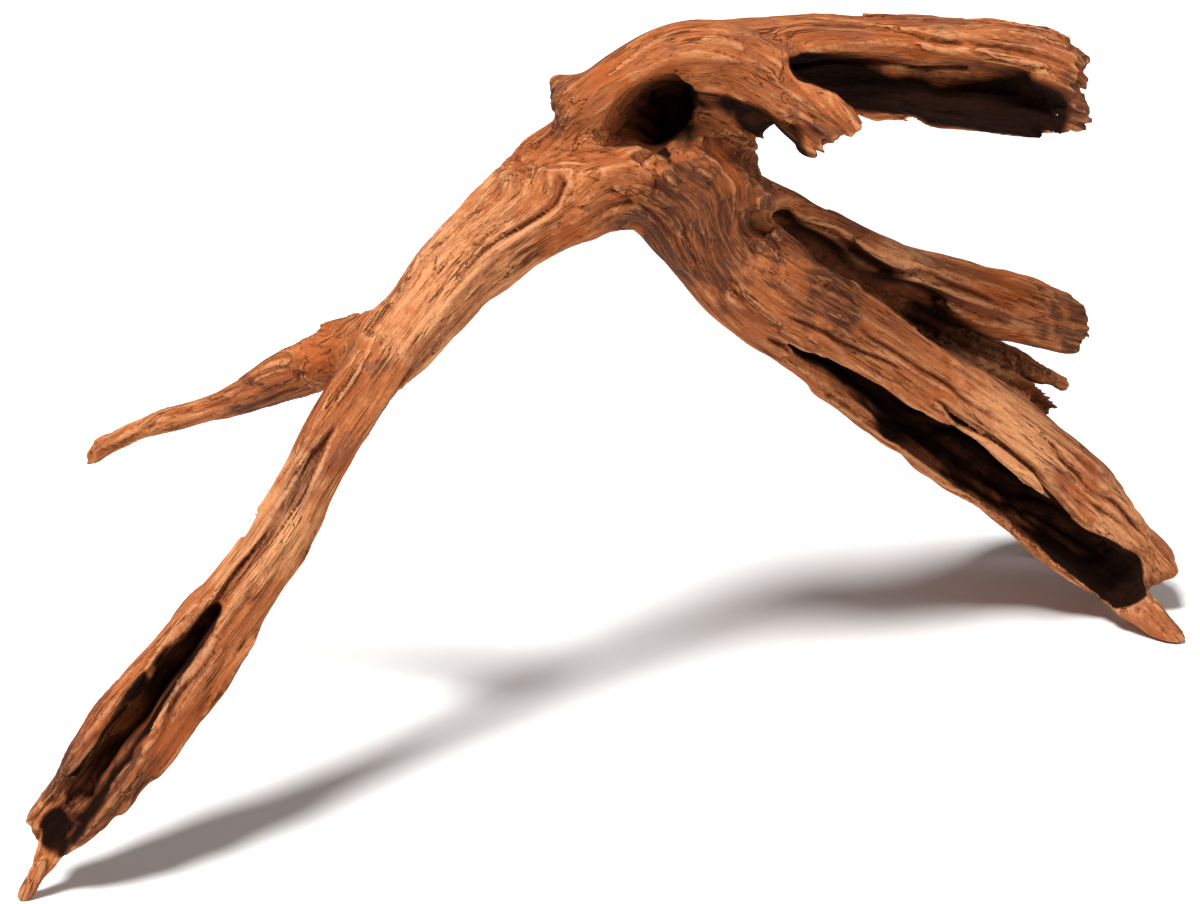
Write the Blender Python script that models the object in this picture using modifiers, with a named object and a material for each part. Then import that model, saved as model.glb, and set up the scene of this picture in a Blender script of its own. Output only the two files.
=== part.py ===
"""A weathered piece of branching driftwood, grown as one body.

It stands on three points: the toe of a long leg, the tip of a hollow trunk and the trunk's back heel.
All places are shares of the three overall dimensions, measured from the middle of the footprint:
x in half lengths, y in half depths (y grows towards the back), z in heights.
Limb widths are shares of GIRTH.
"""
import math

import bmesh
import bpy
from mathutils import Quaternion, Vector, noise

# Driving dimensions, in metres
LENGTH = 0.450
DEPTH = 0.290
HEIGHT = 0.300
GIRTH = 0.028           # width of the long leg where it is slimmest
FOOT_DIP = -0.015       # the feet reach this share of the height below the floor, and are cut flat there

# Surface and mesh settings, in metres
RING_STEP = 0.005       # distance between the rings of a limb
RING_POINTS = 24        # points around each ring
CURVE_SAMPLES = 400     # steps used to measure a limb's curve
SKIN_VOXEL = 0.0025     # size of the grid that melts the limbs together
FLUTE_TWIST = 9.0       # turns of the flutes, in radians for each metre of limb
WIDE_FLUTES = 3         # broad flutes around a limb
THIN_FLUTES = 5         # narrow flutes between them
THIN_SHARE = 0.6        # depth of the narrow flutes as a share of the broad ones
LUMP_SIZE = 0.022       # size of the low swellings
SOFTEN_ROUNDS = 3       # passes that take the grid's steps out of the skin
TRIANGLES = 9000        # triangles of the finished body
GROUND_DEPTH = 0.050    # thickness of the block that flattens the feet

SHOW_SIDE = Vector((0.0, -0.906, 0.423))   # the way that the broad side of each limb faces

BARK_BROWN = (0.30, 0.115, 0.045, 1.0)
WOOD_ROUGHNESS = 0.75


def place(x, y, z):
    """A point from its shares of half the length, half the depth and the height."""
    return Vector((x * LENGTH / 2, y * DEPTH / 2, z * HEIGHT))


def blend(values, t):
    """Smooth value at t (0 to 1) through values spread evenly along a limb."""
    span = t * (len(values) - 1)
    i = min(int(span), len(values) - 2)
    f = span - i
    before = values[max(i - 1, 0)]
    start = values[i]
    end = values[i + 1]
    after = values[min(i + 2, len(values) - 1)]
    slope_in = (end - before) * 0.5
    slope_out = (after - start) * 0.5
    bend = start * (2 * f**3 - 3 * f**2 + 1) + end * (3 * f**2 - 2 * f**3)
    return bend + slope_in * (f**3 - 2 * f**2 + f) + slope_out * (f**3 - f**2)


def centre_line(points):
    """Points RING_STEP apart along the smooth curve through a limb's places."""
    fine = [blend(points, i / CURVE_SAMPLES) for i in range(CURVE_SAMPLES + 1)]
    travelled = [0.0]
    for a, b in zip(fine, fine[1:]):
        travelled.append(travelled[-1] + (b - a).length)
    rings = max(4, round(travelled[-1] / RING_STEP))
    line = []
    k = 0
    for i in range(rings + 1):
        goal = travelled[-1] * i / rings
        while travelled[k + 1] < goal and k < len(fine) - 2:
            k += 1
        share = (goal - travelled[k]) / (travelled[k + 1] - travelled[k])
        line.append(fine[k].lerp(fine[k + 1], share))
    return line


def collection(name):
    """A new collection in the scene."""
    group = bpy.data.collections.new(name)
    bpy.context.scene.collection.children.link(group)
    return group


def limb(group, name, places, widths, thicknesses, flute=0.05, lean=0.0, seed=0):
    """A closed loft of oval, gently fluted sections along a curve; sizes are shares of GIRTH."""
    line = centre_line([place(*p) for p in places])
    mesh = bmesh.new()
    rings = []
    for i, centre in enumerate(line):
        t = i / (len(line) - 1)
        along = (line[min(i + 1, len(line) - 1)] - line[max(i - 1, 0)]).normalized()
        side = along.cross(SHOW_SIDE).normalized()
        side.rotate(Quaternion(along, lean))
        front = side.cross(along)
        half_width = blend(widths, t) * GIRTH / 2
        half_thickness = blend(thicknesses, t) * GIRTH / 2
        twist = FLUTE_TWIST * i * RING_STEP + seed
        ring = []
        for j in range(RING_POINTS):
            angle = 2 * math.pi * j / RING_POINTS
            broad = math.cos(WIDE_FLUTES * angle + twist)
            narrow = THIN_SHARE * math.cos(THIN_FLUTES * angle - twist)
            point = side * (half_width * math.cos(angle)) + front * (half_thickness * math.sin(angle))
            lump = noise.noise((centre + point) / LUMP_SIZE + Vector((seed, 0, 0)))
            ring.append(mesh.verts.new(centre + point * (1 + flute * (broad + narrow + lump))))
        rings.append(ring)
    for a, b in zip(rings, rings[1:]):
        for j in range(RING_POINTS):
            k = (j + 1) % RING_POINTS
            mesh.faces.new((a[j], a[k], b[k], b[j]))
    mesh.faces.new(reversed(rings[0]))
    mesh.faces.new(rings[-1])
    bmesh.ops.recalc_face_normals(mesh, faces=mesh.faces)
    data = bpy.data.meshes.new(name)
    mesh.to_mesh(data)
    mesh.free()
    shape = bpy.data.objects.new(name, data)
    group.objects.link(shape)
    return shape


def leg(group):
    """The long leg: down from the hub to the front left, with its split foot and pointed toe."""
    limb(group, "leg", [(0.16, 0.05, 0.79), (-0.02, -0.05, 0.785), (-0.23, -0.22, 0.69),
                        (-0.41, -0.42, 0.54), (-0.53, -0.56, 0.40), (-0.66, -0.70, 0.28),
                        (-0.80, -0.82, 0.16), (-0.89, -0.86, 0.08)],
         [1.8, 1.6, 1.15, 0.9, 0.85, 0.95, 1.25, 0.9],
         [1.7, 1.5, 1.15, 1.05, 1.0, 1.0, 1.0, 0.7], seed=1)
    limb(group, "toe", [(-0.83, -0.83, 0.12), (-0.885, -0.87, 0.06), (-0.945, -0.88, FOOT_DIP)],
         [0.6, 0.5, 0.35], [0.6, 0.45, 0.4], seed=2)


def twig(group):
    """The thin side twig of the leg, with its hooked end."""
    limb(group, "twig", [(-0.33, -0.32, 0.63), (-0.45, -0.20, 0.57), (-0.60, -0.06, 0.485),
                         (-0.745, 0.07, 0.425), (-0.88, 0.15, 0.37)],
         [0.9, 0.8, 0.46, 0.34, 0.28], [0.8, 0.8, 0.5, 0.4, 0.3], seed=3)
    limb(group, "twig_hook", [(-0.86, 0.13, 0.375), (-0.905, 0.13, 0.345)],
         [0.28, 0.2], [0.28, 0.2], seed=4)


def hub(group):
    """The thick middle where all limbs meet, its overhanging brow and the knot on its left."""
    limb(group, "core", [(0.06, 0.05, 0.77), (0.12, 0.05, 0.81), (0.18, 0.07, 0.77), (0.24, 0.13, 0.69)],
         [1.3, 1.6, 1.3, 0.9], [1.6, 1.8, 1.8, 1.5], seed=5)
    limb(group, "crown", [(-0.02, 0.08, 0.80), (0.08, 0.10, 0.86), (0.18, 0.10, 0.88)],
         [1.1, 1.2, 1.0], [1.0, 1.2, 1.0], seed=16)
    limb(group, "brow", [(-0.07, -0.08, 0.85), (0.02, -0.08, 0.895), (0.12, -0.05, 0.925),
                         (0.21, -0.04, 0.925), (0.30, -0.08, 0.885), (0.375, -0.10, 0.84)],
         [0.5, 0.85, 1.0, 1.0, 1.2, 0.8], [0.8, 1.1, 1.25, 1.2, 0.8, 0.35], seed=6)
    limb(group, "brow_lip", [(0.22, -0.02, 0.845), (0.28, -0.05, 0.835), (0.335, -0.07, 0.82)],
         [0.4, 0.5, 0.35], [0.7, 0.5, 0.35], seed=7)
    limb(group, "knot", [(-0.05, -0.06, 0.895), (-0.095, -0.07, 0.905)], [0.45, 0.32], [0.5, 0.45], seed=8)


def beam(group):
    """The short thick beam that leaves the top of the hub to the right."""
    limb(group, "beam", [(0.15, 0.03, 0.92), (0.34, 0.06, 0.915), (0.52, 0.13, 0.895), (0.69, 0.18, 0.87),
                         (0.80, 0.22, 0.835)],
         [0.9, 1.1, 1.25, 1.4, 1.25], [1.2, 1.25, 1.3, 1.3, 1.15], seed=9)


def trunk(group):
    """The heavy lower right trunk, its lower lip that ends in a point, and the heel at its back."""
    limb(group, "trunk", [(0.10, 0.05, 0.76), (0.245, 0.15, 0.615), (0.43, 0.33, 0.48), (0.62, 0.49, 0.35),
                          (0.81, 0.62, 0.22), (0.97, 0.71, 0.10), (1.04, 0.73, 0.05)],
         [1.6, 1.5, 1.5, 1.5, 1.5, 1.35, 0.9], [1.8, 1.95, 2.0, 2.05, 2.1, 1.9, 1.3], seed=10)
    limb(group, "lip", [(0.37, 0.25, 0.445), (0.565, 0.41, 0.31), (0.76, 0.54, 0.18),
                        (0.93, 0.57, 0.075), (1.09, 0.46, FOOT_DIP)],
         [0.35, 0.4, 0.5, 0.7, 0.35], [1.2, 1.4, 1.4, 1.1, 0.4], seed=11)
    limb(group, "heel", [(0.52, 0.55, 0.36), (0.70, 0.80, 0.25), (0.83, 0.98, 0.11),
                         (0.88, 1.06, FOOT_DIP)],
         [0.6, 1.1, 0.85, 0.55], [0.8, 1.3, 0.9, 0.5], seed=12)


def arm(group):
    """The middle arm behind the trunk, the web between them and two long splinters."""
    limb(group, "arm", [(0.20, 0.14, 0.73), (0.36, 0.30, 0.645), (0.50, 0.45, 0.565), (0.65, 0.58, 0.50),
                        (0.79, 0.68, 0.445), (0.88, 0.75, 0.41)],
         [0.8, 0.65, 0.8, 0.95, 1.05, 0.9], [1.0, 1.0, 1.0, 1.0, 0.9, 0.75], seed=13)
    limb(group, "web", [(0.28, 0.30, 0.63), (0.46, 0.54, 0.53), (0.62, 0.68, 0.44)],
         [0.8, 0.9, 0.8], [0.5, 0.5, 0.5], seed=17)
    limb(group, "splinter_long", [(0.57, 0.66, 0.43), (0.72, 0.76, 0.38), (0.87, 0.83, 0.31)],
         [0.5, 0.45, 0.2], [0.5, 0.4, 0.25], seed=14)
    limb(group, "splinter_short", [(0.55, 0.60, 0.43), (0.69, 0.68, 0.37), (0.82, 0.74, 0.305)],
         [0.45, 0.3, 0.15], [0.6, 0.4, 0.2], seed=15)


def hollows(group):
    """Cutters for every cavity of the wood, from the hub outwards."""
    limb(group, "brow_hole", [(0.03, -0.33, 0.85), (0.08, -0.10, 0.87), (0.12, 0.10, 0.85)],
         [0.9, 0.95, 0.5], [1.2, 1.2, 0.6], flute=0.12, seed=20)
    limb(group, "brow_recess", [(0.07, -0.27, 0.86), (0.14, -0.25, 0.85), (0.22, -0.20, 0.83),
                                (0.29, -0.12, 0.80)],
         [0.5, 0.7, 0.75, 0.6], [0.8, 1.0, 1.1, 1.0], flute=0.1, seed=27)
    limb(group, "under_brow", [(0.15, -0.16, 0.845), (0.22, -0.12, 0.825), (0.32, -0.05, 0.785)],
         [0.4, 0.6, 0.55], [0.9, 1.3, 1.4], seed=25)
    limb(group, "beam_trough", [(0.28, -0.06, 0.90), (0.40, -0.03, 0.90), (0.53, 0.01, 0.89),
                                (0.69, 0.07, 0.87)],
         [0.4, 0.6, 0.65, 0.5], [1.5, 1.6, 1.6, 1.4], seed=21)
    limb(group, "trunk_hollow", [(0.22, 0.04, 0.60), (0.41, 0.22, 0.465), (0.60, 0.38, 0.33),
                                 (0.79, 0.51, 0.195), (0.93, 0.58, 0.095)],
         [0.15, 0.4, 0.68, 0.75, 0.5], [1.2, 1.7, 1.9, 1.8, 1.2], lean=0.5, seed=22)
    limb(group, "leg_cleft", [(-0.54, -0.66, 0.40), (-0.68, -0.79, 0.29), (-0.80, -0.92, 0.18),
                              (-0.91, -0.97, 0.06)],
         [0.12, 0.30, 0.55, 0.5], [1.0, 1.4, 1.4, 1.2], lean=-0.2, seed=23)
    limb(group, "arm_notch", [(0.25, -0.06, 0.715), (0.285, 0.10, 0.70), (0.31, 0.22, 0.685)],
         [0.35, 0.3, 0.15], [0.45, 0.4, 0.2], seed=24)
    limb(group, "arm_cleft", [(0.29, 0.06, 0.705), (0.37, 0.13, 0.655), (0.46, 0.22, 0.595),
                              (0.56, 0.32, 0.525), (0.68, 0.42, 0.45)],
         [0.2, 0.36, 0.48, 0.6, 0.6], [1.4, 1.8, 1.9, 1.9, 1.7], seed=26)


def ground(group):
    """The block under the floor plane that cuts the three feet flat."""
    bpy.ops.mesh.primitive_cube_add(size=1.0, location=(0, 0, -GROUND_DEPTH / 2))
    block = bpy.context.object
    block.name = "ground"
    block.scale = (LENGTH * 2, DEPTH * 2, GROUND_DEPTH)
    bpy.ops.object.transform_apply(location=False, rotation=False, scale=True)
    for old in list(block.users_collection):
        old.objects.unlink(block)
    group.objects.link(block)
    return block


def joined(group, name):
    """One object that holds every limb of a collection."""
    mesh = bmesh.new()
    for shape in list(group.objects):
        mesh.from_mesh(shape.data)
        bpy.data.objects.remove(shape)
    data = bpy.data.meshes.new(name)
    mesh.to_mesh(data)
    mesh.free()
    body = bpy.data.objects.new(name, data)
    group.objects.link(body)
    return body


def cut(body, tool):
    """Take a closed cutter out of the body."""
    step = body.modifiers.new("cut_" + tool.name, "BOOLEAN")
    step.operation = "DIFFERENCE"
    step.solver = "EXACT"
    step.object = tool
    tool.hide_render = True
    tool.display_type = "WIRE"


def melt(body, name):
    """Melt overlapping shapes into one closed skin."""
    step = body.modifiers.new(name, "REMESH")
    step.mode = "VOXEL"
    step.voxel_size = SKIN_VOXEL


def soften(body):
    """Take the grid's steps out of the skin."""
    step = body.modifiers.new("soften", "SMOOTH")
    step.factor = 0.5
    step.iterations = SOFTEN_ROUNDS


def apply_modifiers(body):
    """Replace the body's mesh by its evaluated one."""
    depsgraph = bpy.context.evaluated_depsgraph_get()
    result = bpy.data.meshes.new_from_object(body.evaluated_get(depsgraph))
    body.modifiers.clear()
    body.data = result


def centred(body):
    """Put the origin under the middle of the body's box."""
    xs = [v.co.x for v in body.data.vertices]
    ys = [v.co.y for v in body.data.vertices]
    shift = Vector((-(min(xs) + max(xs)) / 2, -(min(ys) + max(ys)) / 2, 0))
    for vertex in body.data.vertices:
        vertex.co += shift


def wood():
    """Red-brown, dry, matt wood."""
    material = bpy.data.materials.new("driftwood")
    material.use_nodes = True
    shader = material.node_tree.nodes["Principled BSDF"]
    shader.inputs["Base Color"].default_value = BARK_BROWN
    shader.inputs["Roughness"].default_value = WOOD_ROUGHNESS
    shader.inputs["Metallic"].default_value = 0.0
    return material


def main():
    for old in list(bpy.data.objects):
        bpy.data.objects.remove(old)
    part = collection("driftwood")
    cutters = collection("cutters")
    for make in (leg, twig, hub, beam, trunk, arm):
        make(part)
    hollows(cutters)
    body = joined(part, "driftwood")
    melt(body, "melt_limbs")
    for tool in cutters.objects:
        cut(body, tool)
    melt(body, "melt_cuts")
    soften(body)
    apply_modifiers(body)
    thin = body.modifiers.new("thin", "DECIMATE")
    thin.ratio = TRIANGLES / (2 * len(body.data.polygons))
    cut(body, ground(cutters))
    apply_modifiers(body)
    centred(body)
    body.data.materials.clear()
    body.data.materials.append(wood())


main()
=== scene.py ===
"""The looks of the driftwood: weathered grain, cracks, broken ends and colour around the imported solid.

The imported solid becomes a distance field. Spurs and hollows fill it out and open it, then furrows, cracks,
peeled plates and ragged ends are carved along grain lines that follow each limb, and the carved field is
meshed again as one fine skin. Lengths in the carving code are millimetres. Places are shares of the solid's
box: x and y from -1 to 1 across it, z from 0 at the floor to 1 at the top.
"""
import math

import bpy
import numpy as np
import openvdb
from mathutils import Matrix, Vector
from mathutils.bvhtree import BVHTree


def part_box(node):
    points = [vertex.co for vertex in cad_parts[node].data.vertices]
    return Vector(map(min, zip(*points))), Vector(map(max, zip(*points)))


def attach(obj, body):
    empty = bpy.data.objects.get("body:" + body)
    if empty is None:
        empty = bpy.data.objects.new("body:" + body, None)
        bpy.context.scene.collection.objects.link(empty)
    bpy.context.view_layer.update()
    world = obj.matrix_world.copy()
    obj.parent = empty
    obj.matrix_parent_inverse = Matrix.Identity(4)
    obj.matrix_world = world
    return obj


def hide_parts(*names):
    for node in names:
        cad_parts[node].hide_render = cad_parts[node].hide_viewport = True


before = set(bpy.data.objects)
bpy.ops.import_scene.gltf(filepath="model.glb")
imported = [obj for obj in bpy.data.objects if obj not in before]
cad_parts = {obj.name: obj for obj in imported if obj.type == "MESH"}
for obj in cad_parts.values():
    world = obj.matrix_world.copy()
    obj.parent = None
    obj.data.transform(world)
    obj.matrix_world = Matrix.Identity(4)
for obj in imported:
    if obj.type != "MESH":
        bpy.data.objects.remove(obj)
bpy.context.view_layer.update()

MM = 0.001
NODE = "driftwood"
LOW_MM = np.array(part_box(NODE)[0]) / MM
HIGH_MM = np.array(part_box(NODE)[1]) / MM

BASE_STEP = 2.0                          # grid step of the plain solid's field
PLAIN_ROUNDS = 2                         # rounds of evening out that hide the solid's facets
COARSE = 2                               # base cells to a cell of the grid that holds the grain
FINE_STEP = 1.0   # grid step of the carved field
MARGIN = 12.0                            # empty space kept around the box
BAND = 12.0                              # distance on each side of the surface that the field knows
CARVE_DEPTH = 8.0                        # nothing is carved deeper than this
WALL_SHARE = 0.50                        # or deeper than this share of half the wood's thickness
WALL_REACH = 2                           # base cells over which that thickness is felt
SKIN_ABOVE = 2.5                         # nothing swells further than this
FOOT_FADE = 24.0                         # carving fades out this close to the floor
SHOW_SIDE = np.array([0.0, -0.906, 0.423])   # way that the broad side of each limb faces


# ---------------------------------------------------------------- limbs

def place(x, y, z):
    """A point in mm from its shares of the box."""
    share = np.array([(x + 1) / 2, (y + 1) / 2, z])
    return LOW_MM + share * (HIGH_MM - LOW_MM)


class Limb:
    """A limb's centre line, left to right the way the grain flows.

    hub is the end of the line that lies in the hub, where length along the grain is 0. ragged is how far
    the broken free end varies, and slant moves its lower edge outwards. All are in mm except the points.
    """

    def __init__(self, name, radius, hub, points, ragged=0.0, slant=0.0):
        self.name = name
        self.radius = radius
        self.hub = hub
        self.ragged = ragged
        self.slant = slant
        self.samples, travelled = smooth_line(points)
        self.travelled = travelled - (travelled[-1] if hub == "last" else 0.0)
        along = np.gradient(self.samples, axis=0)
        self.along = along / np.linalg.norm(along, axis=1)[:, None]
        side = np.cross(self.along, SHOW_SIDE)
        self.side = side / np.linalg.norm(side, axis=1)[:, None]
        self.front = np.cross(self.side, self.along)

    def grain(self, spots):
        """Grain coordinates (along, across, out) of the spots, and their distance to the line."""
        nearest = np.empty(len(spots), int)
        for start in range(0, len(spots), CHUNK):
            part = spots[start:start + CHUNK]
            gap = (self.samples**2).sum(1) - 2 * part @ self.samples.T
            nearest[start:start + CHUNK] = gap.argmin(1)
        offset = spots - self.samples[nearest]
        ahead = (offset * self.along[nearest]).sum(1)
        across = (offset * self.side[nearest]).sum(1)
        out = (offset * self.front[nearest]).sum(1)
        grain = np.stack([self.travelled[nearest] + ahead, across, out], axis=1)
        return grain, np.linalg.norm(offset, axis=1)

    def past_end(self, along):
        """How far beyond the limb's free end a length along the grain is."""
        if self.hub == "last":
            return self.travelled[0] - along
        return along - self.travelled[-1]


LINE_STEP = 3.0         # mm between the samples of a centre line
CURVE_SAMPLES = 40      # samples of each stretch of a curve before it is evened out
CHUNK = 50000           # spots handled at a time


def smooth_line(points):
    """Samples LINE_STEP apart on the smooth curve through some points, and how far along it each is."""
    points = np.array([place(*p) for p in points])
    padded = np.vstack([2 * points[0] - points[1], points, 2 * points[-1] - points[-2]])
    t = np.linspace(0, 1, CURVE_SAMPLES, endpoint=False)[:, None]
    fine = []
    for i in range(len(points) - 1):
        a, b, c, d = padded[i:i + 4]
        bend = (2 * a - 5 * b + 4 * c - d) * t**2 + (3 * b - a - 3 * c + d) * t**3
        fine.append(0.5 * (2 * b + (c - a) * t + bend))
    fine = np.vstack(fine + [points[-1:]])
    travelled = np.concatenate([[0], np.cumsum(np.linalg.norm(np.diff(fine, axis=0), axis=1))])
    goals = np.linspace(0, travelled[-1], max(3, int(travelled[-1] / LINE_STEP)))
    return np.stack([np.interp(goals, travelled, fine[:, k]) for k in range(3)], axis=1), goals


LIMBS = (
    Limb("leg", 15, "last", ((-0.98, -0.96, 0.00), (-0.94, -0.96, 0.07), (-0.85, -0.91, 0.16),
                             (-0.72, -0.79, 0.29), (-0.59, -0.66, 0.41), (-0.47, -0.52, 0.55),
                             (-0.30, -0.32, 0.71), (-0.09, -0.15, 0.80), (0.04, -0.07, 0.80))),
    Limb("twig", 6, "last", ((-0.96, 0.03, 0.35), (-0.80, -0.03, 0.435), (-0.66, -0.16, 0.495),
                             (-0.51, -0.30, 0.58), (-0.40, -0.42, 0.64)), ragged=1.5),
    Limb("trunk", 17, "first", ((0.04, -0.07, 0.80), (0.17, 0.05, 0.63), (0.35, 0.23, 0.49),
                                (0.53, 0.39, 0.36), (0.72, 0.52, 0.225), (0.88, 0.61, 0.10),
                                (0.95, 0.62, 0.04))),
    Limb("brow", 13, "first", ((-0.16, -0.18, 0.85), (-0.05, -0.18, 0.915), (0.045, -0.15, 0.945),
                               (0.13, -0.14, 0.945), (0.22, -0.18, 0.905), (0.31, -0.20, 0.85)),
         ragged=2.5),
    Limb("beam", 16, "first", ((0.05, -0.07, 0.94), (0.26, -0.04, 0.935), (0.435, 0.03, 0.915),
                               (0.60, 0.08, 0.89), (0.70, 0.12, 0.855)), ragged=10.0, slant=0.35),
    Limb("arm", 11, "first", ((0.12, 0.04, 0.745), (0.28, 0.20, 0.66), (0.415, 0.35, 0.58),
                              (0.56, 0.48, 0.51), (0.70, 0.58, 0.455), (0.79, 0.65, 0.42)),
         ragged=6.5, slant=0.2),
    Limb("splinter", 5, "first", ((0.485, 0.55, 0.44), (0.63, 0.655, 0.39), (0.78, 0.725, 0.317)),
         ragged=1.5),
    Limb("heel", 9, "first", ((0.435, 0.45, 0.37), (0.61, 0.70, 0.255), (0.74, 0.875, 0.11),
                              (0.79, 0.955, 0.0))),
)
BLEND_POWER = 3.0       # how sharply the grain turns from one limb to the next
LEAST_WEIGHT = 1e-12    # keeps the shares defined far from every limb


def limb_fields(spots):
    """Blended grain coordinates of the spots, and each limb's share in them."""
    grains = []
    weights = []
    for limb in LIMBS:
        grain, reach = limb.grain(spots)
        grains.append(grain)
        weights.append(np.exp(-BLEND_POWER * reach / limb.radius) + LEAST_WEIGHT)
    shares = np.stack(weights, axis=1)
    shares /= shares.sum(1)[:, None]
    blended = sum(grain * shares[:, i:i + 1] for i, grain in enumerate(grains))
    return np.concatenate([blended, shares], axis=1).astype(np.float32)


# ---------------------------------------------------------------- noise

RANDOM = np.random.default_rng(11)
SHUFFLE = RANDOM.permutation(256).astype(np.int32)
LATTICE = RANDOM.uniform(-1, 1, 256).astype(np.float32)
SEED_SHIFT = np.array([17.3, 31.7, 5.9], np.float32)
NOISE_PEAK = 0.7        # height that most lumps of the noise stay under


def value_noise(at, seed):
    """Smooth noise from -1 to 1 whose lumps are about one unit across."""
    at = at + seed * SEED_SHIFT
    base = np.floor(at)
    f = at - base
    f = (f * f * f * (f * (f * 6 - 15) + 10)).astype(np.float32)
    i, j, k = base.astype(np.int32).T
    slabs = []
    for di in (0, 1):
        slab = SHUFFLE[(i + di) & 255]
        lines = []
        for dj in (0, 1):
            line = SHUFFLE[(slab + j + dj) & 255]
            start = LATTICE[(line + k) & 255]
            end = LATTICE[(line + k + 1) & 255]
            lines.append(start + (end - start) * f[:, 2])
        slabs.append(lines[0] + (lines[1] - lines[0]) * f[:, 1])
    return slabs[0] + (slabs[1] - slabs[0]) * f[:, 0]


def grain_noise(grain, length, width, seed):
    """Noise drawn out along the grain: its features are length by width mm."""
    return value_noise(grain / np.array([length, width, width], np.float32), seed)


def valleys(grain, length, width, seed):
    """Rounded ridges with sharp valleys between them: about -1 on a ridge and 1 in a valley."""
    return 1 - 2 * np.abs(grain_noise(grain, length, width, seed)) / NOISE_PEAK


def rise(value, start, end):
    """Smooth step from 0 at start to 1 at end."""
    t = np.clip((value - start) / (end - start), 0, 1)
    return t * t * (3 - 2 * t)


# ---------------------------------------------------------------- distance field

class Field:
    """A dense grid over the box, with its values read between the cells."""

    def __init__(self, step):
        self.step = step
        self.low = LOW_MM - MARGIN
        self.shape = tuple(int(n) for n in np.ceil((HIGH_MM - LOW_MM + 2 * MARGIN) / step) + 1)

    def transform(self):
        """The grid's place, for openvdb."""
        move = openvdb.createLinearTransform(self.step)
        move.postTranslate(tuple(float(c) for c in self.low))
        return move

    def distance_to(self, mesh):
        """Distance to a closed mesh, negative inside."""
        mesh.calc_loop_triangles()
        points = np.empty(len(mesh.vertices) * 3, np.float32)
        mesh.vertices.foreach_get("co", points)
        corners = np.empty(len(mesh.loop_triangles) * 3, np.int32)
        mesh.loop_triangles.foreach_get("vertices", corners)
        grid = openvdb.FloatGrid.createLevelSetFromPolygons(
            points.reshape(-1, 3) / np.float32(MM), triangles=corners.reshape(-1, 3).astype(np.uint32),
            transform=self.transform(), halfWidth=BAND / self.step)
        values = np.empty(self.shape, np.float32)
        grid.copyToArray(values, ijk=(0, 0, 0))
        return values

    def spots(self, cells):
        """Places in mm of the picked cells."""
        return (self.low + np.stack(cells, axis=1) * self.step).astype(np.float32)

    def near_line(self, line, reach):
        """The cells of the upright box that reaches a little beyond a line."""
        samples, _ = smooth_line(line)
        low = np.floor((samples.min(0) - reach - self.low) / self.step).astype(int)
        high = np.ceil((samples.max(0) + reach - self.low) / self.step).astype(int)
        ranges = [np.arange(max(a, 0), min(b, count)) for a, b, count in zip(low, high, self.shape)]
        return tuple(index.ravel() for index in np.meshgrid(*ranges, indexing="ij"))

    def read(self, values, spots):
        """Values at the spots, mixed from the cells around each."""
        at = (spots - self.low) / self.step
        base = np.clip(np.floor(at).astype(np.int32), 0, np.array(self.shape) - 2)
        f = np.clip(at - base, 0, 1).astype(np.float32)
        i, j, k = base.T
        fx, fy, fz = f.T
        if values.ndim == 4:
            fx, fy, fz = fx[:, None], fy[:, None], fz[:, None]
        total = 0
        for di, wx in ((0, 1 - fx), (1, fx)):
            for dj, wy in ((0, 1 - fy), (1, fy)):
                wxy = wx * wy
                total = total + values[i + di, j + dj, k] * (wxy * (1 - fz))
                total = total + values[i + di, j + dj, k + 1] * (wxy * fz)
        return total


def blurred(values, rounds):
    """The grid after a few rounds of mixing each cell with its neighbours along each axis."""
    for _ in range(rounds):
        for axis in range(3):
            ahead = np.roll(values, 1, axis)
            behind = np.roll(values, -1, axis)
            values = values * 0.5 + (ahead + behind) * 0.25
    return values


def thickest_near(values, reach):
    """Largest value within reach cells of each cell, along the axes and their diagonals."""
    for axis in range(3):
        around = [np.roll(values, shift, axis) for shift in range(-reach, reach + 1)]
        values = np.max(around, axis=0)
    return values


# ---------------------------------------------------------------- broad changes to the plain solid

# Spurs that fill the solid out: a line along each, and its radius in mm at both ends of the line.
SPURS = (
    (((0.20, -0.20, 0.925), (0.27, -0.21, 0.895), (0.315, -0.21, 0.86)), 9, 8),
    (((0.50, 0.54, 0.43), (0.66, 0.64, 0.375), (0.80, 0.72, 0.315)), 8, 3.5),
    (((0.52, 0.54, 0.40), (0.64, 0.61, 0.345), (0.74, 0.67, 0.295)), 7, 3),
    (((0.24, 0.00, 0.885), (0.44, 0.05, 0.865), (0.64, 0.09, 0.84)), 9, 9),
)

# Hollows cut into it: a line along each, its radius at both ends, how dark the shade painted in it is, as a
# share of the open air counted as shut out, and the distance in mm over which that painted shade gives way
# outside it.
HOLLOWS = (
    (((0.29, -0.09, 0.89), (0.43, -0.075, 0.88), (0.62, -0.02, 0.85)), 9, 10, 0.95, 10),
    (((0.06, -0.25, 0.88), (0.14, -0.235, 0.87), (0.21, -0.20, 0.845)), 11, 9, 0.72, 5),
    (((0.46, 0.15, 0.38), (0.70, 0.33, 0.19), (0.86, 0.44, 0.085)), 5, 10, 0.9, 4),
    (((-0.655, -0.82, 0.40), (-0.83, -0.975, 0.205), (-0.93, -1.01, 0.08)), 3.5, 6.5, 0.85, 4.5),
)

# The toe's spike, down to the floor, and the heights in mm between which the solid takes over from it.
TOE = (
    ((-0.905, -0.92, 0.10), (-0.93, -0.94, 0.07), (-0.955, -0.955, 0.035), (-0.978, -0.962, 0.0)), 8.5, 2.6
)
TOE_RISE = (10, 26)
SEAM = 4.0              # mm over which a spur or hollow flows into the solid
UNEVEN_RIM = 1.6        # mm that a spur's or hollow's radius varies
UNEVEN_SIZE = 8         # mm across the lumps of that variation


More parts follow.
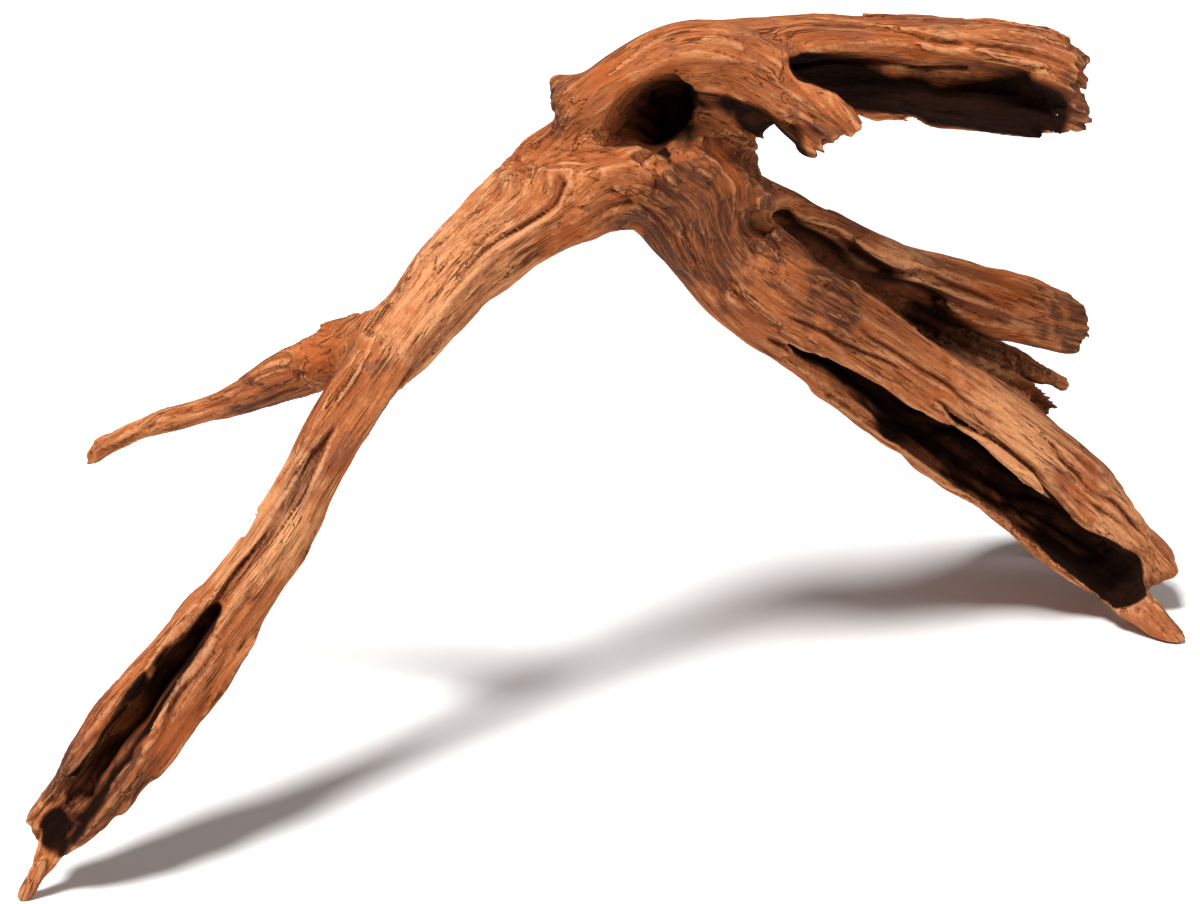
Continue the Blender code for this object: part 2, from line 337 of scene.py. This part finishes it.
def tapered(spots, line, first, last):
    """Distance from the spots to a spike whose radius runs from first to last along a smooth line."""
    samples, travelled = smooth_line(line)
    radii = np.interp(travelled, (0, travelled[-1]), (first, last))
    away = [np.linalg.norm(spots - sample, axis=1) - radius for sample, radius in zip(samples, radii)]
    return np.min(away, axis=0) + UNEVEN_RIM * value_noise(spots / UNEVEN_SIZE, 22)


def joined(first, second):
    """The union of two distance fields, with a soft seam."""
    share = np.clip(0.5 + 0.5 * (second - first) / SEAM, 0, 1)
    return second + (first - second) * share - SEAM * share * (1 - share)


def reshaped(field, plain):
    """The plain solid's field with its spurs, toe and hollows."""
    for line, first, last in SPURS:
        cells = field.near_line(line, first + BAND)
        plain[cells] = joined(plain[cells], tapered(field.spots(cells), line, first, last))
    line, first, last = TOE
    cells = field.near_line(line, first + BAND)
    spots = field.spots(cells)
    spike = tapered(spots, line, first, last)
    plain[cells] = spike + (joined(plain[cells], spike) - spike) * rise(spots[:, 2], *TOE_RISE)
    for line, first, last, _, _ in HOLLOWS:
        cells = field.near_line(line, max(first, last) + BAND)
        plain[cells] = -joined(-plain[cells], tapered(field.spots(cells), line, first, last))
    return plain


# ---------------------------------------------------------------- carving

# Relief that covers the wood. The first two: size and depth in mm, then the noise seed. The others: length,
# width and depth in mm, then the seed.
SWELLING = (20, 1.0, 1)
WANDER = (26, 2.2, 2)           # how far the grain strays from its limb
FLUTES = (95, 10.5, 1.35, 3)
FURROWS = ((70, 6.0, 0.62, 4), (34, 3.2, 0.40, 5), (22, 2.2, 0.20, 12))
END_FURROWS = 2.0               # how many times deeper furrows get at a broken end

# Peeled layers: a coarse and a fine noise, each of length and width in mm, layers and seed, say how many
# layers are gone.
LAYERS = ((46, 11, 2.2, 8), (12, 3.2, 0.45, 9))
PEEL_STEP = 0.9                 # thickness of a layer in mm
PEEL_EDGE = 0.45                # share of a layer's run that stays flat before its edge
PEEL_PATCH = 34                 # mm across the areas that have peeled
PEEL_RANGE = (-0.45, 0.25)      # noise values between which the peeling fades in

# Single clefts: limb, start and end along the grain, place across at each end, width, depth, and the side
# of the limb that they open to (1 is the broad side, -1 the back). Across grows towards the lower edge.
CLEFTS = (
    ("leg", -60, -240, 0, 0, 7.0, 2.6, 1),
    ("leg", -150, -300, -1, 0, 3.6, 8.0, 1),
    ("leg", -15, -120, 4, 5, 2.4, 2.2, 1),
    ("leg", -190, -300, 6, 9, 2.2, 1.6, 1),
    ("leg", -50, -330, 2, -2, 3.4, 3.0, -1),
    ("trunk", 60, 140, 6, -1, 2.4, 2.2, 1),
    ("trunk", 95, 210, -6, -3, 2.2, 2.0, 1),
    ("trunk", 150, 262, 2, 6, 2.4, 4.5, 1),
    ("trunk", 205, 300, -9, -5, 2.2, 1.8, 1),
    ("trunk", 60, 270, -4, 4, 3.6, 5.0, -1),
    ("beam", 30, 150, -10, -7, 2.4, 1.8, 1),
    ("beam", 20, 145, 3, -3, 3.0, 4.0, -1),
    ("arm", 25, 160, -4, 1, 2.4, 2.2, 1),
    ("arm", 60, 165, 5, 5, 2.2, 2.2, 1),
)
CLEFT_FADE = 0.22       # share of a cleft's length over which each end fades out
CLEFT_POINT = 0.5       # a cleft's ends are this wide where its middle is this plus 1
CLEFT_SIDE = 2          # mm from the limb's middle plane over which a cleft fades in
OWN_RANGE = (0.3, 0.7)  # a limb's share of the grain between which its clefts fade in
MEANDER = (16, 1.4, 11)  # length and reach in mm of a cleft's bends, and their seed

# Pitting of the rough patches: length and width of its valleys, then size, depth and seed of its lumps.
PIT_VALLEYS = (10, 5.0, 16)
PIT_LUMPS = ((7, 0.7, 17), (3, 0.35, 13))

# Rough patches: place, radius and depth in mm.
ROUGH_PATCHES = (
    ((0.02, -0.32, 0.84), 26, 2.6),
    ((0.14, -0.28, 0.83), 24, 1.6),
    ((0.22, -0.08, 0.76), 22, 0.8),
    ((0.32, 0.05, 0.60), 20, 0.5),
    ((-0.84, -0.98, 0.16), 22, 1.0),
)


def cleft_depth(grain, shares, wander, cleft):
    """Depth of one cleft at every spot."""
    name, start, end, across_start, across_end, width, depth, side = cleft
    index = [limb.name for limb in LIMBS].index(name)
    t = (grain[:, 0] - start) / (end - start)
    middle = across_start + (across_end - across_start) * t + wander
    away = np.abs(grain[:, 1] - middle)
    body = rise(t, 0, CLEFT_FADE) * rise(1 - t, 0, CLEFT_FADE)
    facing = rise(grain[:, 2] * side, -CLEFT_SIDE, CLEFT_SIDE) * rise(shares[:, index], *OWN_RANGE)
    return depth * body * facing * rise(-away, -width * (CLEFT_POINT + body) / (CLEFT_POINT + 1), 0)


def lumps(spots, size, amount, seed):
    """Even noise of a given size and height."""
    return amount * value_noise(spots / size, seed)


def peeled_depth(spots, grain, near_end):
    """Depth of the steps left where layers have peeled off."""
    layers = sum(height * grain_noise(grain, length, width, seed) for length, width, height, seed in LAYERS)
    level = np.floor(layers)
    peeled = level + rise(layers - level, PEEL_EDGE, 1.0)
    where = rise(value_noise(spots / PEEL_PATCH, 10), *PEEL_RANGE)
    return PEEL_STEP * (1 + near_end) * (peeled + 0.5) * where


def pitted_depth(spots, grain):
    """Depth of the pits in the rough patches."""
    depth = np.zeros(len(spots), np.float32)
    pits = valleys(grain, *PIT_VALLEYS)
    for lump in PIT_LUMPS:
        pits = pits + lumps(spots, *lump)
    for centre, radius, amount in ROUGH_PATCHES:
        inside = 1 - rise(np.linalg.norm(spots - place(*centre), axis=1), radius * 0.5, radius)
        depth = depth + amount * inside * pits
    return depth


def carving(spots, grain, shares, near_end):
    """Depth in mm to carve at each spot: valleys are positive and swellings negative."""
    depth = lumps(spots, *SWELLING)
    wander = lumps(spots, *WANDER)
    grain = grain + wander[:, None] * np.array([0, 1, -1], np.float32)
    length, width, amount, seed = FLUTES
    depth += amount * grain_noise(grain, length, width, seed)
    for length, width, amount, seed in FURROWS:
        depth += amount * (1 + END_FURROWS * near_end) * valleys(grain, length, width, seed)
    depth += peeled_depth(spots, grain, near_end)
    meander = lumps(grain * np.array([1, 0, 0], np.float32), *MEANDER)
    clefts = [cleft_depth(grain, shares, meander, cleft) for cleft in CLEFTS]
    depth += np.max(clefts, axis=0)
    return depth + pitted_depth(spots, grain)


# Broken ends: length, width and thickness in mm of their teeth and of finer chips, and the noise seeds.
TEETH = (60, 7.5, 4.5)
TEETH_SEED = 14
CHIPS = (25, 2, 2)
CHIPS_SEED = 15
TOOTH_STEPS = 2.5       # steps that the teeth's lengths jump by, to a unit of noise
STEPPED_SHARE = 0.54    # of a limb's raggedness, what the stepped teeth, the smooth ones and the chips make
SMOOTH_SHARE = 0.36
CHIP_SHARE = 0.22
RAGGED_SWING = 1.3      # how far the teeth reach beyond the mean break
THICK = 16.0            # radius from which a limb's end is fully splintered


def ragged_cut(grain, shares):
    """Distance beyond the broken end of whichever limb a spot belongs to."""
    teeth = value_noise(grain / np.array(TEETH, np.float32), TEETH_SEED)
    chips = value_noise(grain / np.array(CHIPS, np.float32), CHIPS_SEED)
    level = np.round(teeth * TOOTH_STEPS) / TOOTH_STEPS
    jag = STEPPED_SHARE * level + SMOOTH_SHARE * teeth + CHIP_SHARE * chips
    cut = np.full(len(grain), -BAND, np.float32)
    near_end = np.zeros(len(grain), np.float32)
    for index, limb in enumerate(LIMBS):
        past = limb.past_end(grain[:, 0]) + limb.ragged * (1 + RAGGED_SWING * jag)
        past = past - limb.slant * grain[:, 1]
        own = shares[:, index] > 0.5
        if limb.ragged > 0:
            cut[own] = past[own]
            near_end[own] = np.exp(np.minimum(past[own], 0) / limb.radius) * min(1, limb.radius / THICK)
    return cut, near_end * near_end


def carved_field():
    """The fine grid and the carved field on it, and the coarse grid and the limb fields on it."""
    base = Field(BASE_STEP)
    plain = reshaped(base, base.distance_to(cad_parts[NODE].data))
    plain = blurred(plain, PLAIN_ROUNDS)
    coarse = Field(COARSE * BASE_STEP)
    near = np.abs(plain[::COARSE, ::COARSE, ::COARSE]) < BAND - BASE_STEP
    limbs = np.zeros(coarse.shape + (3 + len(LIMBS),), np.float32)
    near_cells = np.nonzero(near)
    limbs[near_cells] = limb_fields(coarse.spots(near_cells))
    fine = Field(FINE_STEP)
    times = round(BASE_STEP / FINE_STEP)
    values = plain
    for axis in range(3):
        values = np.repeat(values, times, axis=axis)
    values = np.ascontiguousarray(values[tuple(slice(0, n) for n in fine.shape)])
    fine.shape = values.shape
    cells = np.nonzero((values > -CARVE_DEPTH - BASE_STEP) & (values < SKIN_ABOVE + BASE_STEP))
    spots = fine.spots(cells)
    surface = base.read(plain, spots)
    here = coarse.read(limbs, spots)
    grain, shares = here[:, :3], here[:, 3:]
    cut, near_end = ragged_cut(grain, shares)
    half_wall = base.read(thickest_near(-plain, WALL_REACH), spots)
    depth = np.clip(carving(spots, grain, shares, near_end), -SKIN_ABOVE, CARVE_DEPTH)
    depth = np.minimum(depth, np.clip(half_wall, 0, None) * WALL_SHARE)
    depth *= rise(spots[:, 2], 0, FOOT_FADE)
    outside = np.maximum(LOW_MM - spots, spots - HIGH_MM).max(1)
    values[cells] = np.maximum(np.maximum(surface + depth, cut), outside)
    return fine, values, coarse, limbs


def largest_piece(points, quads):
    """Only the largest connected skin."""
    label = np.arange(len(points))
    start = quads[:, [0, 1, 2, 3]].reshape(-1)
    end = quads[:, [1, 2, 3, 0]].reshape(-1)
    while True:
        low = np.minimum(label[start], label[end])
        fresh = label.copy()
        np.minimum.at(fresh, start, low)
        np.minimum.at(fresh, end, low)
        fresh = fresh[fresh]
        if np.array_equal(fresh, label):
            break
        label = fresh
    names, counts = np.unique(label, return_counts=True)
    keep = label == names[counts.argmax()]
    number = np.cumsum(keep) - 1
    return points[keep], number[quads[keep[quads[:, 0]]]]


def skin(fine, values):
    """Mesh of the carved surface, as points in mm and quads."""
    grid = openvdb.FloatGrid(BAND)
    grid.copyFromArray(values, ijk=(0, 0, 0), tolerance=0.0)
    grid.transform = fine.transform()
    points, quads = grid.convertToQuads(0.0)
    points, quads = largest_piece(points, quads.astype(np.int64))
    return np.clip(points, LOW_MM, HIGH_MM).astype(np.float32), quads


# ---------------------------------------------------------------- what the material reads

PATCH = 3.0             # mm across a patch of skin that shares its first sky reading
SKY_RAYS = 40           # ways that each patch looks
SKY_REACH = 70.0        # mm that each look goes
SKY_LIFT = 1.0          # mm above the surface that a look starts
SKY_LEAN = 1.05         # how strongly the looks lean away from the surface
SKY_SOFTEN = 10         # rounds that even out the patches

# Areas given painted shade although the open air still reaches them: a line along each, its radius in mm,
# and the share of the air that counts as shut out there.
PAINTED_SHADE_AREAS = (
    (((0.25, -0.16, 0.91), (0.44, -0.12, 0.885), (0.60, -0.05, 0.86)), 18, 0.85),
    (((0.08, -0.32, 0.83), (0.20, -0.22, 0.80), (0.27, -0.10, 0.77)), 15, 0.55),
    (((-0.62, -0.84, 0.37), (-0.78, -0.98, 0.20), (-0.90, -1.00, 0.07)), 11, 0.65),
    (((0.46, 0.14, 0.37), (0.70, 0.32, 0.175), (0.84, 0.42, 0.085)), 17, 0.75),
)
SHADE_AREA_RIM = (0.6, 1.2)   # shares of the radius between which an area's painted shade fades out
OPEN_SKY = 0.3          # share of the air shut out from which an area takes its full painted shade
SHADE_START = 1.0       # mm outside a hollow at which its shade starts to fade

# Stained areas, and bleached ones that also carry painted highlight: centre and radius in mm.
STAINS = (
    ((0.08, -0.22, 0.72), 36), ((0.22, -0.14, 0.75), 32), ((0.32, 0.00, 0.62), 20),
    ((0.82, 0.62, 0.42), 34), ((0.78, 0.10, 0.86), 38), ((-0.62, -0.24, 0.46), 22),
    ((-0.84, -1.00, 0.16), 32), ((0.05, 0.35, 0.80), 44), ((0.42, 0.62, 0.45), 30),
    ((-0.35, -0.20, 0.62), 20), ((-0.17, -0.20, 0.90), 14), ((0.27, -0.26, 0.81), 18),
)
BLEACHED_AND_LIT_AREAS = (
    ((-0.30, -0.46, 0.72), 46), ((-0.58, -0.74, 0.47), 34), ((0.66, 0.36, 0.36), 44),
    ((0.86, 0.50, 0.16), 34), ((0.48, 0.26, 0.61), 26),
)
PATCH_RIM = 0.45        # share of an area's radius over which its rim fades
PATCH_LUMPS = ((9, 0.35), (3.5, 0.25))   # size in mm and strength of the unevenness of that rim
FINE_ROUNDS = 3         # rounds of evening out that find the thin creases
BROAD_ROUNDS = 45       # and the broad troughs


class Skin:
    """The finished surface, which can even out what its points hold."""

    def __init__(self, points, quads, normals):
        self.points = points
        self.normals = normals
        self.start = quads[:, [0, 1, 2, 3]].reshape(-1)
        self.end = quads[:, [1, 2, 3, 0]].reshape(-1)
        self.ties = np.bincount(np.concatenate([self.start, self.end]), minlength=len(points))

    def evened(self, values, rounds):
        """Each point's value mixed with its neighbours', a few times."""
        count = len(self.points)
        for _ in range(rounds):
            around = np.bincount(self.start, values[self.end], count)
            around += np.bincount(self.end, values[self.start], count)
            values = (values + around / self.ties) / 2
        return values

    def crease(self, rounds):
        """How far in mm each point lies below the evened-out surface: above 0 in a valley."""
        evened = np.stack([self.evened(self.points[:, k], rounds) for k in range(3)], axis=1)
        return ((evened - self.points) * self.normals).sum(1)

    def sky(self, mesh):
        """Share of the open air that each point sees past the plain solid, from 0 to 1."""
        corners = [v.co / MM for v in mesh.vertices]
        tree = BVHTree.FromPolygons(corners, [tuple(f.vertices) for f in mesh.polygons])
        cell = np.floor(self.points / PATCH).astype(int)
        keys = np.concatenate([cell, self.normals > 0], axis=1)
        _, patch = np.unique(keys, axis=0, return_inverse=True)
        patch = patch.reshape(-1)
        size = np.bincount(patch)
        where = np.stack([np.bincount(patch, self.points[:, k]) / size for k in range(3)], axis=1)
        facing = np.stack([np.bincount(patch, self.normals[:, k]) for k in range(3)], axis=1)
        facing /= np.linalg.norm(facing, axis=1)[:, None] + 1e-9
        ways = RANDOM.normal(size=(SKY_RAYS, 3))
        ways /= np.linalg.norm(ways, axis=1)[:, None]
        seen = np.zeros(len(size))
        for index, (spot, out) in enumerate(zip(where, facing)):
            hit = tree.find_nearest(Vector(spot))
            origin = hit[0] + hit[1] * SKY_LIFT
            looks = ways + out * SKY_LEAN
            seen[index] = sum(tree.ray_cast(origin, Vector(way), SKY_REACH)[0] is None for way in looks)
        return self.evened(seen[patch] / SKY_RAYS, SKY_SOFTEN)


def painted_shade_loss(points, sky):
    """Painted shade: share of the air that each point loses to a hollow, or to a listed area that is not in
    the open.
    """
    lost = np.zeros(len(points))
    for line, radius, share in PAINTED_SHADE_AREAS:
        samples, _ = smooth_line(line)
        away = np.min([np.linalg.norm(points - sample, axis=1) for sample in samples], axis=0)
        lost = np.maximum(lost, share * (1 - rise(away / radius, *SHADE_AREA_RIM)))
    lost *= rise(1 - sky, 0.0, OPEN_SKY)
    for line, first, last, share, fade in HOLLOWS:
        outside = rise(tapered(points, line, first, last), SHADE_START, fade)
        lost = np.maximum(lost, share * (1 - outside))
    return lost


def patched(points, areas, seed):
    """How deep in one of the areas each point lies, from 0 to 1, with an uneven rim."""
    uneven = sum(lumps(points, *lump, seed + index) for index, lump in enumerate(PATCH_LUMPS))
    depths = [rise(1 - np.linalg.norm(points - place(*centre), axis=1) / radius + uneven, 0.0, PATCH_RIM)
              for centre, radius in areas]
    return np.max(depths, axis=0)


def store(mesh, name, kind, values):
    """Keep one value per point on the mesh for the material."""
    layer = mesh.attributes.new(name, kind, "POINT")
    key = "vector" if kind == "FLOAT_VECTOR" else "value"
    layer.data.foreach_set(key, np.ascontiguousarray(values, np.float32).reshape(-1))


def build_wood():
    """The visible piece of wood."""
    fine, values, coarse, limbs = carved_field()
    points, quads = skin(fine, values)
    mesh = bpy.data.meshes.new("weathered_wood")
    mesh.from_pydata((points * MM).tolist(), [], quads.tolist())
    mesh.update()
    mesh.shade_smooth()
    normals = np.empty(len(points) * 3, np.float32)
    mesh.vertex_normals.foreach_get("vector", normals)
    surface = Skin(points, quads, normals.reshape(-1, 3))
    store(mesh, "grain", "FLOAT_VECTOR", coarse.read(limbs, points)[:, :3] * MM)
    sky = surface.sky(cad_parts[NODE].data)
    # The sky reading, lowered in the listed hollows and shaded areas, sets where shade is painted into the
    # colour.
    store(mesh, "sky", "FLOAT", sky - painted_shade_loss(points, sky))
    store(mesh, "stain", "FLOAT", patched(points, STAINS, 18))
    # Bleached areas, which also carry painted highlight.
    store(mesh, "bleach_and_highlight", "FLOAT", patched(points, BLEACHED_AND_LIT_AREAS, 20))
    # Creases set painted shade in the valleys, and a lighter tan that is partly painted highlight on the
    # ridges.
    store(mesh, "crease", "FLOAT", surface.crease(FINE_ROUNDS))
    # Troughs set painted shade in the broad hollows.
    store(mesh, "trough", "FLOAT", surface.crease(BROAD_ROUNDS))
    wood = bpy.data.objects.new("weathered_driftwood", mesh)
    bpy.context.scene.collection.objects.link(wood)
    return wood


# ---------------------------------------------------------------- material

class Nodes:
    """Short helpers for wiring one material."""

    def __init__(self, material):
        self.tree = material.node_tree

    def add(self, kind, **settings):
        node = self.tree.nodes.new(kind)
        for name, value in settings.items():
            setattr(node, name, value)
        return node

    def link(self, source, target):
        self.tree.links.new(source, target)

    def attribute(self, name, output="Fac"):
        return self.add("ShaderNodeAttribute", attribute_name=name).outputs[output]

    def noise(self, vector, scale, detail=4.0, rough=0.6):
        """Noise along a vector after stretching it."""
        stretch = self.add("ShaderNodeVectorMath", operation="MULTIPLY")
        stretch.inputs[1].default_value = scale
        self.link(vector, stretch.inputs[0])
        node = self.add("ShaderNodeTexNoise")
        node.inputs["Scale"].default_value = 1.0
        node.inputs["Detail"].default_value = detail
        node.inputs["Roughness"].default_value = rough
        self.link(stretch.outputs[0], node.inputs["Vector"])
        return node.outputs["Fac"]

    def ramp(self, source, stops):
        """Colours by value."""
        node = self.add("ShaderNodeValToRGB")
        bar = node.color_ramp
        while len(bar.elements) < len(stops):
            bar.elements.new(0.5)
        for element, (at, colour) in zip(bar.elements, stops):
            element.position = at
            element.color = (*colour, 1.0)
        self.link(source, node.inputs["Fac"])
        return node.outputs["Color"]

    def span(self, source, low, high, to_low=0.0, to_high=1.0):
        """Stretch a value range onto another, clamped."""
        node = self.add("ShaderNodeMapRange", clamp=True, interpolation_type="SMOOTHSTEP")
        for name, value in (("From Min", low), ("From Max", high), ("To Min", to_low), ("To Max", to_high)):
            node.inputs[name].default_value = value
        self.link(source, node.inputs["Value"])
        return node.outputs["Result"]

    def mix(self, share, first, second, blend_type="MIX"):
        """Mix two colours; the second may be a fixed colour."""
        node = self.add("ShaderNodeMix", data_type="RGBA", blend_type=blend_type)
        self.link(share, node.inputs["Factor"])
        self.link(first, node.inputs["A"])
        if isinstance(second, tuple):
            node.inputs["B"].default_value = (*second, 1.0)
        else:
            self.link(second, node.inputs["B"])
        return node.outputs["Result"]

    def math(self, operation, a, b=0.0):
        """One sum or product of two values; the second may be a fixed number."""
        node = self.add("ShaderNodeMath", operation=operation)
        self.link(a, node.inputs[0])
        if isinstance(b, float):
            node.inputs[1].default_value = b
        else:
            self.link(b, node.inputs[1])
        return node.outputs[0]


# Colours, dark to light along the streaks, then one for each kind of weathering and of painted shade; ridge
# tan and bleach also carry painted highlight.
WOOD_STOPS = (
    (0.28, (0.120, 0.026, 0.009)),
    (0.42, (0.280, 0.074, 0.024)),
    (0.52, (0.430, 0.130, 0.042)),
    (0.62, (0.600, 0.222, 0.080)),
    (0.76, (0.770, 0.375, 0.175)),
)
# Painted shade in caves, and in sheltered places and broad troughs.
CAVE_SHADE_BROWN = (0.008, 0.0025, 0.0012)
SHADE_BROWN = (0.060, 0.016, 0.006)
# painted shade in the thin creases, and the colour of the hairline cracks
CREASE_SHADE_AND_CRACK_BROWN = (0.070, 0.017, 0.006)
FIBRE_BROWN = (0.100, 0.024, 0.008)
RIDGE_WEAR_AND_HIGHLIGHT = (0.760, 0.370, 0.175)
RUST = (0.380, 0.080, 0.014)
PLUM = (0.165, 0.056, 0.036)
ASH = (0.130, 0.066, 0.045)
BLEACH_AND_HIGHLIGHT = (0.820, 0.390, 0.175)
STAIN = (0.090, 0.034, 0.020)


# Noise scales: features to a metre, along the grain and then across it both ways, or the same all ways.
BROAD_BANDS = (18, 120, 120)
FIBRES = (60, 700, 700)
FLECKS = (420, 1900, 1900)
DARK_FIBRES = (34, 1000, 1000)
PLUM_BANDS = (14, 60, 60)
CRACKS = (13, 260, 260)
CRACKED_AREAS = (40, 90, 90)
RUST_BLOTCHES = (24, 24, 24)
ASH_BLOTCHES = (70, 70, 70)
BUMP_HEIGHT = 0.0014    # metres
DRY_SPECULAR = 0.05


def banded_colour(n, grain, fibre, fleck):
    """Colour of the clean wood, in streaks along the grain, and the streaks themselves."""
    broad = n.noise(grain, BROAD_BANDS, 4.0)
    streak = n.math("ADD", n.math("MULTIPLY", broad, 0.40), n.math("MULTIPLY", fibre, 0.34))
    streak = n.math("ADD", streak, n.math("MULTIPLY", fleck, 0.26))
    return n.ramp(streak, WOOD_STOPS), streak


def weathered_colour(n, colour, grain, fibre, streak):
    """Rusty, plum and ashy blotches, stained areas, and bleached areas and tan ridges that are partly
    painted highlight.
    """
    body_place = n.add("ShaderNodeTexCoord").outputs["Object"]
    rust = n.span(n.noise(body_place, RUST_BLOTCHES, 5.0), 0.50, 0.66, 0.0, 0.60)
    colour = n.mix(rust, colour, RUST)
    plum = n.span(n.noise(grain, PLUM_BANDS, 4.0), 0.52, 0.68, 0.0, 0.60)
    colour = n.mix(plum, colour, PLUM)
    ash = n.span(n.noise(body_place, ASH_BLOTCHES, 6.0, 0.7), 0.60, 0.66, 0.0, 0.55)
    colour = n.mix(ash, colour, ASH)
    bleach_and_highlight = n.math("MULTIPLY", n.attribute("bleach_and_highlight"), n.span(streak, 0.40, 0.60, 0.10, 0.60))
    # bleached wood, partly painted highlight on lit faces
    colour = n.mix(bleach_and_highlight, colour, BLEACH_AND_HIGHLIGHT)
    # lighter tan on convex ridges: partly wear, partly painted highlight
    colour = n.mix(n.span(n.attribute("crease"), -0.03, -0.17, 0.0, 0.50), colour, RIDGE_WEAR_AND_HIGHLIGHT)
    stain = n.math("MULTIPLY", n.attribute("stain"), n.span(fibre, 0.42, 0.60, 0.92, 0.35))
    return n.mix(stain, colour, STAIN)


def thin_cracks(n, grain):
    """Hairline cracks along the grain, 1 in a crack, in some areas only."""
    crack = n.math("ABSOLUTE", n.math("SUBTRACT", n.noise(grain, CRACKS, 3.0), 0.5))
    crack = n.span(crack, 0.004, 0.020, 1.0, 0.0)
    return n.math("MULTIPLY", crack, n.span(n.noise(grain, CRACKED_AREAS, 2.0), 0.42, 0.60))


def shaded_colour(n, colour):
    """Painted shade: darker furrows, broad troughs, sheltered places and caves, by how creased or shut in
    each point lies.
    """
    sky = n.attribute("sky")
    # painted shade in the thin creases
    colour = n.mix(n.span(n.attribute("crease"), 0.03, 0.19, 0.0, 0.80), colour, CREASE_SHADE_AND_CRACK_BROWN)
    # painted shade in the broad troughs
    colour = n.mix(n.span(n.attribute("trough"), 0.25, 1.5, 0.0, 0.70), colour, SHADE_BROWN)
    # painted shade where little open air is seen, and near-black painted shade in caves
    colour = n.mix(n.span(sky, 0.62, 0.25, 0.0, 0.85), colour, SHADE_BROWN)
    return n.mix(n.span(sky, 0.35, 0.10, 0.0, 0.95), colour, CAVE_SHADE_BROWN)


def wood_material():
    """Dry red-brown wood: streaks along the grain, stained areas, bleached areas and ridges that are partly
    painted highlight, dark cracks, and painted shade in creases and hollows.
    """
    material = bpy.data.materials.new("weathered_wood")
    material.use_nodes = True
    n = Nodes(material)
    shader = n.tree.nodes["Principled BSDF"]
    grain = n.attribute("grain", "Vector")
    fibre = n.noise(grain, FIBRES, 5.0, 0.65)
    fleck = n.noise(grain, FLECKS, 3.0, 0.7)
    dark_fibre = n.span(n.noise(grain, DARK_FIBRES, 3.0), 0.58, 0.70, 0.0, 0.70)
    crack = thin_cracks(n, grain)

    colour, streak = banded_colour(n, grain, fibre, fleck)
    colour = weathered_colour(n, colour, grain, fibre, streak)
    colour = n.mix(dark_fibre, colour, FIBRE_BROWN)
    colour = n.mix(n.math("MULTIPLY", crack, 0.85), colour, CREASE_SHADE_AND_CRACK_BROWN)
    n.link(shaded_colour(n, colour), shader.inputs["Base Color"])

    n.link(n.span(fibre, 0.3, 0.7, 0.60, 0.90), shader.inputs["Roughness"])
    shader.inputs["Specular IOR Level"].default_value = DRY_SPECULAR
    height = n.math("ADD", n.math("MULTIPLY", fibre, 0.7), n.math("MULTIPLY", fleck, 0.45))
    height = n.math("SUBTRACT", height, n.math("MULTIPLY", dark_fibre, 0.30))
    height = n.math("SUBTRACT", height, n.math("MULTIPLY", crack, 0.60))
    bump = n.add("ShaderNodeBump")
    bump.inputs["Strength"].default_value = 1.0
    bump.inputs["Distance"].default_value = BUMP_HEIGHT
    n.link(height, bump.inputs["Height"])
    n.link(bump.outputs["Normal"], shader.inputs["Normal"])
    return material


# ---------------------------------------------------------------- stage

CAMERA_AIM = Vector((-0.0165, -0.0145, 0.12))
CAMERA_DISTANCE = 1.27
CAMERA_RISE = math.radians(25)
CAMERA_LENS = 100.0
SUN_SIDE = (-0.30, -0.45, 1.0)
SUN_STRENGTH = 5.2
SUN_ANGLE = math.radians(14)
SIDE_SPOT = (1.0, -0.4, 0.9)
SIDE_POWER = 3.0
SIDE_SIZE = 0.6
FLOOR_SIZE = 12.0
FLOOR_COLOUR = (0.86, 0.85, 0.84, 1.0)
FLOOR_ROUGHNESS = 0.9
AIR_COLOUR = (1.0, 0.99, 0.98, 1.0)
AIR_STRENGTH = 0.18


def camera():
    """Looks along +Y from a little above."""
    data = bpy.data.cameras.new("camera")
    data.lens = CAMERA_LENS
    eye = bpy.data.objects.new("camera", data)
    bpy.context.scene.collection.objects.link(eye)
    back = Vector((0, -math.cos(CAMERA_RISE), math.sin(CAMERA_RISE)))
    eye.location = CAMERA_AIM + back * CAMERA_DISTANCE
    eye.rotation_euler = (math.pi / 2 - CAMERA_RISE, 0, 0)
    bpy.context.scene.camera = eye


def sun():
    """The key light: high, a little to the left and in front, with soft-edged shadows."""
    data = bpy.data.lights.new("key", "SUN")
    data.energy = SUN_STRENGTH
    data.angle = SUN_ANGLE
    lamp = bpy.data.objects.new("key", data)
    lamp.rotation_euler = (-Vector(SUN_SIDE)).to_track_quat("-Z", "Y").to_euler()
    bpy.context.scene.collection.objects.link(lamp)


def area_light(name, spot, power, size):
    """A square soft light that points at the wood."""
    data = bpy.data.lights.new(name, "AREA")
    data.energy = power
    data.size = size
    lamp = bpy.data.objects.new(name, data)
    lamp.location = spot
    lamp.rotation_euler = (CAMERA_AIM - Vector(spot)).to_track_quat("-Z", "Y").to_euler()
    bpy.context.scene.collection.objects.link(lamp)


def stage():
    """Pale floor, soft key light from above and a weak even fill."""
    bpy.ops.mesh.primitive_plane_add(size=FLOOR_SIZE)
    floor = bpy.context.object
    floor.name = "floor"
    paint = bpy.data.materials.new("pale_floor")
    paint.use_nodes = True
    shader = paint.node_tree.nodes["Principled BSDF"]
    shader.inputs["Base Color"].default_value = FLOOR_COLOUR
    shader.inputs["Roughness"].default_value = FLOOR_ROUGHNESS
    floor.data.materials.append(paint)
    sun()
    area_light("side", SIDE_SPOT, SIDE_POWER, SIDE_SIZE)
    world = bpy.data.worlds.new("air")
    world.use_nodes = True
    world.node_tree.nodes["Background"].inputs["Color"].default_value = AIR_COLOUR
    world.node_tree.nodes["Background"].inputs["Strength"].default_value = AIR_STRENGTH
    bpy.context.scene.world = world
    bpy.context.scene.view_settings.view_transform = "Standard"


camera()
stage()
wood = build_wood()
wood.data.materials.append(wood_material())
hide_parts(NODE)
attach(wood, "root")
